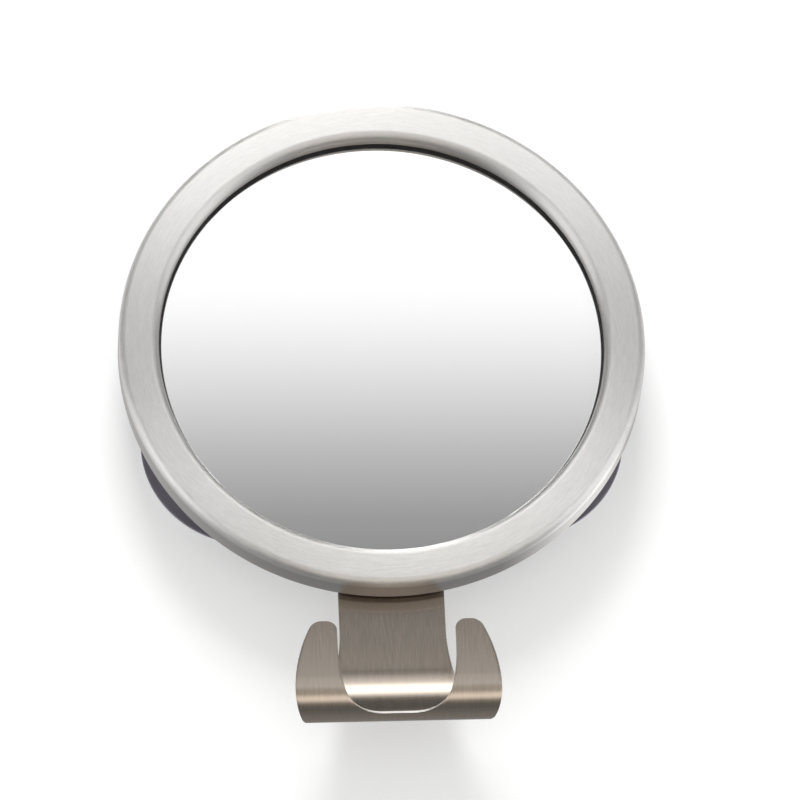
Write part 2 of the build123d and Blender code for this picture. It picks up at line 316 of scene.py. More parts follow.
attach(seal_piece, "mirror")
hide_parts("mirror_seal")

# Mirror plate and its film
# A disc of 2 mm float glass, silvered and ground at the rim, with grey backing paint behind.
# The film is clear polyester stuck to its face, thinner than a card, which gives a second faint gloss.
plate_low, plate_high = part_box("mirror_plate")
film_low, film_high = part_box("antifog_film")
ground_edge = 0.15 * MM
film_gap = 0.02 * MM
film_edge = 0.03 * MM
plate_piece = turned(
    "mirror_plate_silvered",
    [
        (0, plate_low.y),
        (mirror_radius - ground_edge, plate_low.y),
        (mirror_radius, plate_low.y + ground_edge),
        (mirror_radius, plate_high.y - ground_edge),
        (mirror_radius - ground_edge, plate_high.y),
        (0, plate_high.y),
    ],
    sharp=20,
)
silver = new_material("silvered_float_glass", Base_Color=linear("#f7f7f7"), Metallic=1.0, Roughness=0.01)[0]
paint = new_material("mirror_backing_paint", Base_Color=linear("#8c9091"), Roughness=0.5)[0]
plate_piece.data.materials.append(silver)
plate_piece.data.materials.append(paint)
for polygon in plate_piece.data.polygons:
    polygon.material_index = 0 if polygon.normal.y < -0.1 else 1
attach(plate_piece, "mirror")
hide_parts("mirror_plate")

film_piece = turned(
    "antifog_film_clear",
    [
        (0, film_low.y),
        (film_high.x - film_edge, film_low.y),
        (film_high.x, film_low.y + film_edge),
        (film_high.x, film_high.y - film_gap),
        (0, film_high.y - film_gap),
    ],
    sharp=20,
)
clear_film = new_material(
    "clear_polyester_film", Base_Color=linear("#fefefe"), Roughness=0.0, IOR=1.4, Transmission_Weight=1.0
)[0]
film_piece.data.materials.append(clear_film)
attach(film_piece, "mirror")
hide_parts("antifog_film")

# Foam tape and mirror tray
# A disc of white acrylic foam tape holds the plate in a tray of moulded ABS, which is pressed into
# the hemmed ring. Neither shows once the cover is on, and the tray has a fine moulded grain.
foam_cell = 0.55 * MM
cell_depth = 0.1 * MM
foam, tree, shader = new_material("acrylic_foam_tape", Base_Color=linear("#e4e3df"), Roughness=0.9)
place = add(tree, "ShaderNodeTexCoord").outputs["Object"]
cells = add(tree, "ShaderNodeTexVoronoi", {"Vector": place, "Scale": 1 / foam_cell})
grain = add(tree, "ShaderNodeBump", {"Height": cells.outputs["Distance"], "Distance": cell_depth})
tree.links.new(grain.outputs["Normal"], shader.inputs["Normal"])

cloud_size = 22.0 * MM
pit_depth = 0.03 * MM


def spark_plastic(name, pale, deep, grit):
    """Moulded ABS whose mould was spark-eroded: a fine even grain, dull, with a faint clouding."""
    material, tree, shader = new_material(name, IOR=1.54)
    place = add(tree, "ShaderNodeTexCoord").outputs["Object"]
    pits = add(tree, "ShaderNodeTexNoise", {"Vector": place, "Scale": 1 / grit, "Detail": 2.0})
    cloud = add(tree, "ShaderNodeTexNoise", {"Vector": place, "Scale": 1 / cloud_size, "Detail": 3.0})
    colour = add(
        tree,
        "ShaderNodeMix",
        {"Factor": cloud.outputs["Fac"], "A": linear(deep), "B": linear(pale)},
        data_type="RGBA",
    )
    tree.links.new(colour.outputs["Result"], shader.inputs["Base Color"])
    dull = add(tree, "ShaderNodeMapRange", {"Value": pits.outputs["Fac"], "To Min": 0.42, "To Max": 0.6})
    tree.links.new(dull.outputs[0], shader.inputs["Roughness"])
    grain = add(tree, "ShaderNodeBump", {"Height": pits.outputs["Fac"], "Distance": pit_depth})
    tree.links.new(grain.outputs["Normal"], shader.inputs["Normal"])
    return material


tray_plastic = spark_plastic("moulded_abs_tray", "#5a5a5c", "#505052", 0.4 * MM)
for node, material in (("mirror_tape", foam), ("mirror_tray", tray_plastic)):
    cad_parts[node].data.materials.clear()
    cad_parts[node].data.materials.append(material)

# Razor hook
# One strip of 0.8 mm stainless steel, stamped with a flared neck, two lobes and a notch, brushed along
# its length and bent up at the front. Its sheared edge is pale, partly a painted highlight, and a tab is
# screwed to the tray.
hook_low, hook_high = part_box("razor_hook")
hook_sheet = 0.8 * MM
bend_radius = 6.5 * MM + hook_sheet / 2
sweep_radius = 30.0 * MM + hook_sheet / 2
sweep_angle = math.radians(30)
neck_width = 30.0 * MM
neck_straight = 10.0 * MM
base_inset = 2.2 * MM
lobe_width = 12.3 * MM
lobe_height = 27.1 * MM
lobe_tip_inset = 5.6 * MM
lobe_side_radius = 43.0 * MM
tip_outer_radius = 2.0 * MM
tip_inner_radius = 2.9 * MM
notch_corner = 12.5 * MM
notch_floor_angle = math.radians(25)
stamping_view = math.radians(60)
tab_corner = 3.0 * MM
hook_screw_spacing = 17.0 * MM
hook_screw_hole = 1.5 * MM
cut_edge = 0.12 * MM
flare_shares = (0.673, 0.337)

hook_bottom = hook_low.z
neck_y = hook_high.y - hook_sheet / 2
bend_z = hook_bottom + bend_radius + hook_sheet / 2
bend_y = neck_y - sweep_radius + (sweep_radius - bend_radius) * math.cos(sweep_angle)
sweep_z = bend_z + (sweep_radius - bend_radius) * math.sin(sweep_angle)
lobe_span = hook_high.x - hook_low.x
notch_width = lobe_span - 2 * lobe_width
base_width = lobe_span - 2 * base_inset
lobe_tip_z = hook_bottom + lobe_height
hook_runs = (
    hook_high.z - sweep_z,
    sweep_radius * sweep_angle,
    bend_radius * (math.pi - sweep_angle),
    lobe_tip_z - bend_z,
)
hook_length = sum(hook_runs)
view_sine, view_cosine = math.sin(stamping_view), math.cos(stamping_view)


def strip_place(run):
    """Where the strip's middle line is (y, z) when it has run so far from the top of the tab."""
    neck, sweep, bend, lobe = hook_runs
    if run <= neck:
        return neck_y, hook_high.z - run
    run -= neck
    if run <= sweep:
        turn = run / sweep_radius
        return neck_y - sweep_radius * (1 - math.cos(turn)), sweep_z - sweep_radius * math.sin(turn)
    run -= sweep
    if run <= bend:
        turn = sweep_angle + run / bend_radius
        return bend_y + bend_radius * math.cos(turn), bend_z - bend_radius * math.sin(turn)
    return bend_y - bend_radius, bend_z + run - bend


def behind_height(run):
    """Height of the strip as the neck's outline sees it, looking down its back at a slant."""
    y, z = strip_place(run)
    return (y - bend_y) * view_sine + (z - hook_bottom) * view_cosine


def front_height(run):
    """Height of the strip as the lobes' outline sees it, looking up its front at a slant."""
    y, z = strip_place(run)
    return (bend_y - y) * view_sine + (z - hook_bottom) * view_cosine


def run_where(height_of, height, low, high, rising):
    """How far the strip has run where its height reaches the one asked for."""
    for _ in range(50):
        middle = (low + high) / 2
        if (height_of(middle) < height) == rising:
            low = middle
        else:
            high = middle
    return low


bottom_run = hook_runs[0] + hook_runs[1] + bend_radius * (math.pi / 2 - sweep_angle)
bend_outer = bend_radius + hook_sheet / 2
flare_top = (hook_high.y - bend_y) * view_sine + (frame_radius + hook_bottom) * -view_cosine
flare_top -= neck_straight * view_cosine
flare_growth = (base_width - neck_width) / 2
lobe_start = bend_outer * (view_sine + view_cosine)
notch_floor = bend_outer * (
    math.sin(notch_floor_angle) * view_sine + (1 - math.cos(notch_floor_angle)) * view_cosine
)


def bezier(a, b, c, d, t):
    """The point at share t of a four-point curve, for one coordinate."""
    return a * (1 - t) ** 3 + 3 * b * t * (1 - t) ** 2 + 3 * c * t * t * (1 - t) + d * t**3


def curve_at(heights, widths, height):
    """Width of a four-point curve at a height, found by halving."""
    low, high = 0.0, 1.0
    for _ in range(40):
        middle = (low + high) / 2
        if (bezier(*heights, middle) > height) == (heights[0] > heights[3]):
            low = middle
        else:
            high = middle
    return bezier(*widths, low)


def corner_loss(depth, radius):
    """How far a rounded corner draws in, at a depth from the edge that it rounds into."""
    return radius - math.sqrt(max(0, radius**2 - (radius - depth) ** 2)) if depth < radius else 0


def half_width(run):
    """Half the width of the strip from edge to edge."""
    z = strip_place(run)[1]
    if run < bottom_run:
        height = behind_height(run)
        if height >= flare_top:
            return neck_width / 2 - corner_loss(run, tab_corner)
        start, end = flare_shares
        heights = (flare_top, start * flare_top, end * flare_top, 0)
        foot = base_width / 2
        return curve_at(heights, (foot - flare_growth,) * 2 + (foot - end * flare_top / 3, foot), height)
    height = front_height(run)
    if height < lobe_start:
        third = lobe_start / 3
        heights = (0, third, 2 * third, lobe_start)
        widths = (base_width / 2, base_width / 2 + third / 3, lobe_span / 2, lobe_span / 2)
        return curve_at(heights, widths, height)
    if z < bend_z:
        return lobe_span / 2
    start = Vector((lobe_span / 2, bend_z))
    end = Vector((lobe_span / 2 - lobe_tip_inset, lobe_tip_z))
    chord = end - start
    inward = Vector((-chord.y, chord.x)).normalized()
    centre = (start + end) / 2 + inward * math.sqrt(lobe_side_radius**2 - chord.length_squared / 4)
    side = centre.x + math.sqrt(lobe_side_radius**2 - (z - centre.y) ** 2)
    return side - corner_loss(lobe_tip_z - z, tip_outer_radius)


def half_notch(run):
    """Half the width of the notch, or of the flat part of its floor below it."""
    z = strip_place(run)[1]
    flat = notch_width / 2 - notch_corner
    risen = front_height(run) - notch_floor
    if run < bottom_run or risen <= 0:
        return flat
    side = notch_width / 2 - corner_loss(risen, notch_corner)
    return side + corner_loss(lobe_tip_z - z, tip_inner_radius)


def spaced(start, end, count):
    """Evenly spaced values, the first one left out."""
    return [start + (end - start) * (k + 1) / count for k in range(count)]


notch_run = run_where(front_height, notch_floor, bottom_run, hook_length, True)
side_run = run_where(front_height, notch_floor + notch_corner, notch_run, hook_length, True)
tip_run = hook_length - tip_outer_radius
corner_rows, neck_rows, bend_rows, floor_rows, lobe_rows = 14, 44, 24, 10, 12
quarter = [math.pi / 2 * k / corner_rows for k in range(corner_rows + 1)]
runs = [tab_corner * (1 - math.cos(angle)) for angle in quarter]
runs += spaced(tab_corner, hook_runs[0], neck_rows)
runs += spaced(hook_runs[0], hook_runs[0] + hook_runs[1], bend_rows)
runs += spaced(hook_runs[0] + hook_runs[1], bottom_run, bend_rows)
runs += spaced(bottom_run, notch_run, floor_rows)
floor_row = len(runs) - 1
for angle in quarter[1:]:
    height = notch_floor + notch_corner * (1 - math.cos(angle))
    runs.append(run_where(front_height, height, notch_run, hook_length, True))
runs += spaced(side_run, tip_run, lobe_rows)
runs += [tip_run + tip_outer_radius * math.sin(angle) for angle in quarter[1:]]

side_columns, middle_columns = 14, 8
points, faces, rows = [], [], []
for row, run in enumerate(runs):
    y, z = strip_place(run)
    edge, gap = half_width(run), half_notch(run)
    across = [-edge + (edge - gap) * k / side_columns for k in range(side_columns + 1)]
    if row <= floor_row:
        across += [-gap + 2 * gap * k / middle_columns for k in range(1, middle_columns)]
    across += [gap + (edge - gap) * k / side_columns for k in range(side_columns + 1)]
    rows.append(len(points))
    points += [(x, y, z) for x in across]
for row in range(len(runs) - 1):
    here, there = rows[row], rows[row + 1]
    whole = side_columns * 2 + middle_columns
    for k in range(whole):
        if row < floor_row:
            faces.append([here + k, here + k + 1, there + k + 1, there + k])
            continue
        if side_columns <= k < side_columns + middle_columns:
            continue
        last = k >= side_columns
        above = there + k - (middle_columns - 1 if last else 0)
        below = here + k - (middle_columns - 1 if last and row > floor_row else 0)
        faces.append([below, below + 1, above + 1, above])

hook_piece = mesh_piece("razor_hook_brushed", points, faces)


def cutter(name, x, z):
    """A short round bar through the tab, to cut a screw hole."""
    bar = bmesh.new()
    bmesh.ops.create_cone(
        bar,
        cap_ends=True,
        segments=48,
        radius1=hook_screw_hole,
        radius2=hook_screw_hole,
        depth=6 * hook_sheet,
        matrix=Matrix.Translation((x, neck_y, z)) @ Matrix.Rotation(math.pi / 2, 4, "X"),
    )
    mesh = bpy.data.meshes.new(name)
    bar.to_mesh(mesh)
    bar.free()
    piece = bpy.data.objects.new(name, mesh)
    bpy.context.scene.collection.objects.link(piece)
    return piece


def applied(piece):
    """Turns the modifiers of a piece into plain mesh and removes them."""
    bpy.context.view_layer.update()
    result = piece.evaluated_get(bpy.context.evaluated_depsgraph_get())
    mesh = bpy.data.meshes.new_from_object(result)
    old = piece.data
    piece.modifiers.clear()
    piece.data = mesh
    bpy.data.meshes.remove(old)


# These lines too are drawn coarser than real ones, so that they show.
hook_line_width = 0.3 * MM
hook_line_length = 6.0 * MM
hook_scratch = 0.001 * MM
nick_size = 0.4 * MM
hook_steel, tree, shader = new_material(
    "brushed_stainless_hook", Metallic=1.0, Anisotropic=0.9, Anisotropic_Rotation=0.0
)
place = add(tree, "ShaderNodeTexCoord").outputs["Object"]
apart = add(tree, "ShaderNodeSeparateXYZ", {0: place})
lines = add(tree, "ShaderNodeMath", {0: apart.outputs["X"], 1: hook_line_width}, operation="DIVIDE")
down = add(tree, "ShaderNodeMath", {0: apart.outputs["Z"], 1: hook_line_length}, operation="DIVIDE")
back = add(tree, "ShaderNodeMath", {0: apart.outputs["Y"], 1: hook_line_length}, operation="DIVIDE")
hook_pattern = add(
    tree, "ShaderNodeCombineXYZ", {"X": down.outputs[0], "Y": back.outputs[0], "Z": lines.outputs[0]}
)
brush(tree, shader, hook_pattern.outputs[0], "#c7bcb0", "#bbb0a4", (0.22, 0.27), hook_scratch)
sideways = add(tree, "ShaderNodeCombineXYZ", {"X": 1.0})
tree.links.new(sideways.outputs[0], shader.inputs["Tangent"])
# The sheared edge is unbrushed steel, and its pale colour is also a painted highlight along the edge.
edge_steel_and_highlight, tree, shader = new_material(
    "sheared_edge_and_painted_highlight", Base_Color=linear("#f2efea"), Metallic=1.0, Roughness=0.5
)
place = add(tree, "ShaderNodeTexCoord").outputs["Object"]
nicks = add(tree, "ShaderNodeTexNoise", {"Vector": place, "Scale": 1 / nick_size, "Detail": 2.0})
dull = add(tree, "ShaderNodeMapRange", {"Value": nicks.outputs["Fac"], "To Min": 0.48, "To Max": 0.6})
tree.links.new(dull.outputs[0], shader.inputs["Roughness"])
for material in (hook_steel, edge_steel_and_highlight):
    hook_piece.data.materials.append(material)

screw_low, screw_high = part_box("hook_screws")
hook_screw_z = (screw_low.z + screw_high.z) / 2
hook_screw_places = [(side * hook_screw_spacing / 2, hook_screw_z) for side in (-1, 1)]
wall = hook_piece.modifiers.new("sheet", "SOLIDIFY")
wall.thickness = hook_sheet
wall.offset = 0.0
wall.use_even_offset = True
wall.material_offset_rim = 1
drills = [cutter(f"drill_{k}", x, z) for k, (x, z) in enumerate(hook_screw_places)]
for drill in drills:
    hole = hook_piece.modifiers.new("hole", "BOOLEAN")
    hole.operation = "DIFFERENCE"
    hole.solver = "EXACT"
    hole.object = drill
soft_edge = hook_piece.modifiers.new("cut_edge", "BEVEL")
soft_edge.width = cut_edge
soft_edge.segments = 3
soft_edge.limit_method = "ANGLE"
soft_edge.angle_limit = math.radians(50)
soft_edge.use_clamp_overlap = True
soft_edge.material = 1
applied(hook_piece)
for drill in drills:
    bpy.data.objects.remove(drill)
hook_piece.data.shade_smooth()
hook_piece.data.set_sharp_from_angle(angle=math.radians(40))

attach(hook_piece, "mirror")
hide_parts("razor_hook")

# Screws of the hook and of the cover
# Self-tapping pan-head screws with a cross recess, in steel whose bright zinc has a faint bloom. Two
# hold the hook's tab to the tray and six the cover, each left turned as the driver left it.
head_radius = 2.6 * MM
head_height = 1.4 * MM
head_edge = 0.7 * MM
shank_radius = 1.25 * MM
point_length = 0.8 * MM
point_radius = 0.3 * MM
head_rim = 0.1 * MM
recess_width = 0.75 * MM
recess_reach = 1.5 * MM
recess_depth = 0.8 * MM


def screw_mesh(name, length):
    """One screw with its head seated on y = 0 and its shank pointing to the front of the mirror."""
    outline = rounded(
        [
            (0, head_height, 0),
            (head_radius, head_height, head_edge),
            (head_radius, 0, head_rim),
            (shank_radius, 0, 0),
            (shank_radius, point_length - length, 0),
            (point_radius, -length, 0),
            (0, -length, 0),
        ],
        closed=False,
        step=math.radians(15),
    )
    screw = turned(name, outline, steps=40)
    recess = bmesh.new()
    for turn in (0, math.pi / 2):
        bmesh.ops.create_cube(
            recess,
            size=1.0,
            matrix=Matrix.Translation((0, head_height, 0))
            @ Matrix.Rotation(turn, 4, "Y")
            @ Matrix.Diagonal((2 * recess_reach, 2 * recess_depth, recess_width, 1)),
        )
    mesh = bpy.data.meshes.new(name + "_recess")
    recess.to_mesh(mesh)
    recess.free()
    driver = bpy.data.objects.new(name + "_recess", mesh)
    bpy.context.scene.collection.objects.link(driver)
    cross = screw.modifiers.new("cross", "BOOLEAN")
    cross.operation = "DIFFERENCE"
    cross.solver = "EXACT"
    cross.use_self = True
    cross.object = driver
    applied(screw)
    bpy.data.objects.remove(driver)
    screw.data.shade_smooth()
    screw.data.set_sharp_from_angle(angle=math.radians(35))
    return screw


def screws_on_points():
    """A node tree that sets a screw on every point, each turned its own way, in one finish."""
    tree = bpy.data.node_groups.new("screws_on_points", "GeometryNodeTree")
    for name, kind in (("Places", "Geometry"), ("Screw", "Object"), ("Seed", "Int"), ("Finish", "Material")):
        tree.interface.new_socket(name, in_out="INPUT", socket_type="NodeSocket" + kind)
    tree.interface.new_socket("Screws", in_out="OUTPUT", socket_type="NodeSocketGeometry")
    given = add(tree, "NodeGroupInput").outputs
    screw = add(tree, "GeometryNodeObjectInfo", {"Object": given["Screw"]}, transform_space="RELATIVE")
    turn = add(
        tree,
        "FunctionNodeRandomValue",
        {"Min": (0.0, 0.0, 0.0), "Max": (0.0, math.pi, 0.0), "Seed": given["Seed"]},
        data_type="FLOAT_VECTOR",
    )
    set_screws = add(
        tree,
        "GeometryNodeInstanceOnPoints",
        {"Points": given["Places"], "Instance": screw.outputs["Geometry"], "Rotation": turn.outputs["Value"]},
    )
    real = add(tree, "GeometryNodeRealizeInstances", {"Geometry": set_screws.outputs["Instances"]})
    finish = add(
        tree, "GeometryNodeSetMaterial", {"Geometry": real.outputs["Geometry"], "Material": given["Finish"]}
    )
    add(tree, "NodeGroupOutput", {"Screws": finish.outputs["Geometry"]})
    return tree


bloom_size = 1.1 * MM
zinc, tree, shader = new_material("zinc_plated_steel", Metallic=1.0)
place = add(tree, "ShaderNodeTexCoord").outputs["Object"]
bloom = add(tree, "ShaderNodeTexNoise", {"Vector": place, "Scale": 1 / bloom_size, "Detail": 3.0})
colour = add(
    tree,
    "ShaderNodeMix",
    {"Factor": bloom.outputs["Fac"], "A": linear("#b9bcc0"), "B": linear("#d8dadb")},
    data_type="RGBA",
)
tree.links.new(colour.outputs["Result"], shader.inputs["Base Color"])
dull = add(tree, "ShaderNodeMapRange", {"Value": bloom.outputs["Fac"], "To Min": 0.2, "To Max": 0.4})
tree.links.new(dull.outputs[0], shader.inputs["Roughness"])

screw_setter = screws_on_points()


def set_screws(name, places, seat_y, length, seed, node):
    """Sets screws at (x, z) places with their heads seated at seat_y, in place of a CAD node."""
    mesh = bpy.data.meshes.new(name)
    mesh.from_pydata([(x, seat_y, z) for x, z in places], [], [])
    piece = bpy.data.objects.new(name, mesh)
    bpy.context.scene.collection.objects.link(piece)
    one = screw_mesh(name + "_one", length)
    modifier = piece.modifiers.new("screws", "NODES")
    modifier.node_group = screw_setter
    sockets = {s.name: s.identifier for s in screw_setter.interface.items_tree if s.in_out == "INPUT"}
    modifier[sockets["Screw"]] = one
    modifier[sockets["Seed"]] = seed
    modifier[sockets["Finish"]] = zinc
    applied(piece)
    bpy.data.objects.remove(one)
    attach(piece, "mirror")
    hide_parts(node)


hook_screw_length = 3.6 * MM
cover_screw_length = 5.0 * MM
set_screws("hook_screws_set", hook_screw_places, hook_high.y, hook_screw_length, 3, "hook_screws")
cover_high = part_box("back_cover")[1]
cover_screw_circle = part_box("cover_screws")[1].x - head_radius
cover_screw_places = [
    (cover_screw_circle * math.cos(math.pi / 3 * k), cover_screw_circle * math.sin(math.pi / 3 * k))
    for k in range(6)
]
set_screws("cover_screws_set", cover_screw_places, cover_high.y, cover_screw_length, 8, "cover_screws")

# Back cover
# A shallow dish of moulded ABS with a spark-eroded grain, a slot for the hook and a round seat for
# each suction cup. It closes the tray and hides the tape, the ribs and the tab of the hook.
cover_plastic = spark_plastic("moulded_abs_cover", "#5c5c5f", "#525255", 0.35 * MM)
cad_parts["back_cover"].data.materials.clear()
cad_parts["back_cover"].data.materials.append(cover_plastic)

# Suction cups
# Three cups moulded in smoky soft vinyl, each snapped into the cover by a mushroom head, which lets
# it turn. The vinyl is glossy and slightly see-through, and darker towards the hub: partly its thickness,
# partly painted shade in the hollow of the dish.
cup_lip = 1.4 * MM
cup_lip_height = 0.9 * MM
cup_hub = 8.0 * MM
cup_hub_height = 2.9 * MM
cup_bow = 0.7 * MM
cup_neck = 3.5 * MM
cup_head = 5.2 * MM
cup_head_height = 2.4 * MM
cup_head_lead = 1.2 * MM
cup_clearance = 0.3 * MM
cup_seat = 0.4 * MM
cup_wall = 1.6 * MM
hub_round = 0.3 * MM
head_round = 0.4 * MM
nose_round = 0.5 * MM
lip_back_round = 0.25 * MM
lip_front_round = 0.3 * MM
haze_size = 7.7 * MM
dimple_size = 2.5 * MM
dimple_depth = 0.01 * MM
thin_y = -1.0 * MM
thick_y = -7.0 * MM
hub_y = cover_high.y - cup_seat + cup_clearance
hub_back_y = hub_y + cup_hub_height
head_front_y = cover_high.y - cup_wall - cup_clearance - cup_head_height


def bowed(start, end, rise, count=18):
    """Points between two places on an arc that rises to one side of the straight line."""
    chord = Vector(end) - Vector(start)
    out = Vector((-chord.y, chord.x)).normalized() * rise
    shares = [(k + 1) / (count + 1) for k in range(count)]
    return [tuple(Vector(start) + chord * s + out * 4 * s * (1 - s)) for s in shares]


vinyl, tree, shader = new_material(
    "smoky_soft_vinyl",
    Roughness=0.22,
    IOR=1.53,
    Subsurface_Weight=0.15,
    Subsurface_Radius=(0.8, 0.7, 0.9),
    Subsurface_Scale=0.5 * MM,
)
place = add(tree, "ShaderNodeTexCoord").outputs["Object"]
haze = add(tree, "ShaderNodeTexNoise", {"Vector": place, "Scale": 1 / haze_size, "Detail": 3.0})
smoke = add(
    tree,
    "ShaderNodeMix",
    {"Factor": haze.outputs["Fac"], "A": linear("#7c7984"), "B": linear("#89868f")},
    data_type="RGBA",
)
# Darker towards the deep hub: partly the thicker vinyl, partly painted shade in the hollow of the dish.
depth = add(tree, "ShaderNodeSeparateXYZ", {0: place}).outputs["Y"]
thickness = add(tree, "ShaderNodeMapRange", {"Value": depth, "From Min": thin_y, "From Max": thick_y})
colour = add(
    tree,
    "ShaderNodeMix",
    {"Factor": thickness.outputs[0], "A": smoke.outputs["Result"], "B": linear("#3e3a45")},
    data_type="RGBA",
)
tree.links.new(colour.outputs["Result"], shader.inputs["Base Color"])
dimple = add(tree, "ShaderNodeTexNoise", {"Vector": place, "Scale": 1 / dimple_size, "Detail": 1.0})
grain = add(tree, "ShaderNodeBump", {"Height": dimple.outputs["Fac"], "Distance": dimple_depth})
tree.links.new(grain.outputs["Normal"], shader.inputs["Normal"])

for cup_body in ("cup_top", "cup_left", "cup_right"):
    cup_node = "suction_" + cup_body
    cup_low, cup_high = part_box(cup_node)
    centre = (cup_low + cup_high) / 2
    cup_radius = (cup_high.x - cup_low.x) / 2
    lip_start = cup_radius - cup_lip
    front_corner = (lip_start, -cup_lip_height)
    outline = [front_corner]
    outline += bowed(front_corner, (cup_hub, hub_y), -cup_bow)
    outline += rounded(
        [
            (cup_hub, hub_y, 0),
            (cup_neck, hub_y, hub_round),
            (cup_neck, hub_y - cup_wall - cup_clearance, 0),
            (cup_head, hub_y - cup_wall - cup_clearance, head_round),
            (cup_head - cup_head_lead, head_front_y, nose_round),
            (0, head_front_y, 0),
        ],
        closed=False,
        step=math.radians(15),
    )
    outline += [(0, hub_back_y), (cup_hub, hub_back_y)]
    outline += bowed((cup_hub, hub_back_y), (lip_start, 0), -cup_bow)
    outline += rounded(
        [
            (lip_start, 0, 0),
            (cup_radius, 0, lip_back_round),
            (cup_radius, -cup_lip_height, lip_front_round),
            (lip_start, -cup_lip_height, 0),
        ],
        closed=False,
        step=math.radians(15),
    )[:-1]
    cup_piece = turned(cup_node + "_vinyl", outline, centre=(centre.x, centre.z), steps=200)
    cup_piece.data.materials.append(vinyl)
    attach(cup_piece, cup_body)
    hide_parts(cup_node)

# Studio
# A white wall that is clear from its back, a pale floor far below, and soft lamps in an even grey room.
# The steel and the mirror reflect a card in front, the wall and a sky, which do not light anything else.
wall_half = 4.0
floor_half = 12.0
floor_z = -1.35
wall_gap = 0.1 * MM
wall_grey = (0.62, 0.62, 0.62, 1.0)
wall_lift = (0.42, 0.42, 0.42, 1.0)
# A painted bright patch on the wall, which only the lower right edge of the ring reflects.
glint_centre = (0.095, 0.0, -0.062)
glint_half = (0.06, 1.0, 0.036)


def sheet_of(name, corners, material):
    """A flat stage sheet through four corners."""
    mesh = bpy.data.meshes.new(name)
    mesh.from_pydata(corners, [], [(0, 1, 2, 3)])
    piece = bpy.data.objects.new(name, mesh)
    bpy.context.scene.collection.objects.link(piece)
    mesh.materials.append(material)
    return piece


def stage_material(name):
    """An empty node material for a stage sheet, and its output."""
    material = bpy.data.materials.new(name)
    material.use_nodes = True
    material.node_tree.nodes.clear()
    return material, material.node_tree, add(material.node_tree, "ShaderNodeOutputMaterial")


def brightness(tree, value, stops):
    """Brightness by a value, from stops of (value, brightness) with straight runs between them."""
    low, high = stops[0][0], stops[-1][0]
    share = add(tree, "ShaderNodeMapRange", {"Value": value, "From Min": low, "From Max": high})
    node = add(tree, "ShaderNodeValToRGB", {"Fac": share.outputs[0]})
    while len(node.color_ramp.elements) < len(stops):
        node.color_ramp.elements.new(0.5)
    for element, (position, level) in zip(node.color_ramp.elements, stops):
        element.position = (position - low) / (high - low)
        element.color = (level, level, level, 1.0)
    return node.outputs["Color"]


wall_paint, tree, output = stage_material("white_wall")
path = add(tree, "ShaderNodeLightPath").outputs
facing = add(tree, "ShaderNodeNewGeometry").outputs["Backfacing"]
place = add(tree, "ShaderNodeTexCoord").outputs["Object"]
height = add(tree, "ShaderNodeSeparateXYZ", {0: place}).outputs["Z"]
seen = add(tree, "ShaderNodeMath", {0: path["Is Camera Ray"], 1: path["Is Glossy Ray"]}, operation="ADD")
seen = add(tree, "ShaderNodeMath", {0: seen.outputs[0], 1: path["Is Transmission Ray"]}, operation="ADD")
front = add(tree, "ShaderNodeMath", {0: 1.0, 1: facing}, operation="SUBTRACT")
shown = add(tree, "ShaderNodeMath", {0: seen.outputs[0], 1: front.outputs[0]}, operation="MULTIPLY")
matt = add(tree, "ShaderNodeBsdfDiffuse", {"Color": wall_grey})
lift = add(tree, "ShaderNodeEmission", {"Color": wall_lift})
lit = add(tree, "ShaderNodeAddShader", {0: matt.outputs[0], 1: lift.outputs[0]})
# In reflections the wall glows with painted shade, darker towards the bottom under the object.
shade = brightness(tree, height, [(-0.2, 0.22), (-0.1, 0.32), (-0.06, 0.68), (0.0, 0.95), (0.2, 1.0)])
from_glint = add(tree, "ShaderNodeVectorMath", {0: place, 1: glint_centre}, operation="SUBTRACT")
from_glint = add(tree, "ShaderNodeVectorMath", {0: from_glint.outputs[0], 1: glint_half}, operation="DIVIDE")
reach = add(tree, "ShaderNodeVectorMath", {0: from_glint.outputs[0]}, operation="LENGTH")
glint = brightness(tree, reach.outputs["Value"], [(0.5, 3.0), (1.0, 1.0)])
wall_level = add(tree, "ShaderNodeMath", {0: shade, 1: glint}, operation="MULTIPLY")
mirrored = add(tree, "ShaderNodeEmission", {"Color": wall_level.outputs[0]})
by_ray = add(
    tree,
    "ShaderNodeMixShader",
    {"Fac": path["Is Camera Ray"], 1: mirrored.outputs[0], 2: lit.outputs[0]},
)
through = add(tree, "ShaderNodeBsdfTransparent")
whole = add(
    tree, "ShaderNodeMixShader", {"Fac": shown.outputs[0], 1: through.outputs[0], 2: by_ray.outputs[0]}
)
tree.links.new(whole.outputs[0], output.inputs["Surface"])
sheet_of(
    "wall",
    [
        (-wall_half, wall_gap, floor_z),
        (wall_half, wall_gap, floor_z),
        (wall_half, wall_gap, wall_half),
        (-wall_half, wall_gap, wall_half),
    ],
    wall_paint,
)

floor_paint, tree, output = stage_material("pale_floor")
matt = add(tree, "ShaderNodeBsdfDiffuse", {"Color": linear("#f0f0ee")})
tree.links.new(matt.outputs[0], output.inputs["Surface"])
floor = sheet_of(
    "floor",
    [
        (-floor_half, -floor_half, floor_z),
        (floor_half, -floor_half, floor_z),
        (floor_half, floor_half, floor_z),
        (-floor_half, floor_half, floor_z),
    ],
    floor_paint,
)
floor.visible_glossy = False
floor.visible_transmission = False

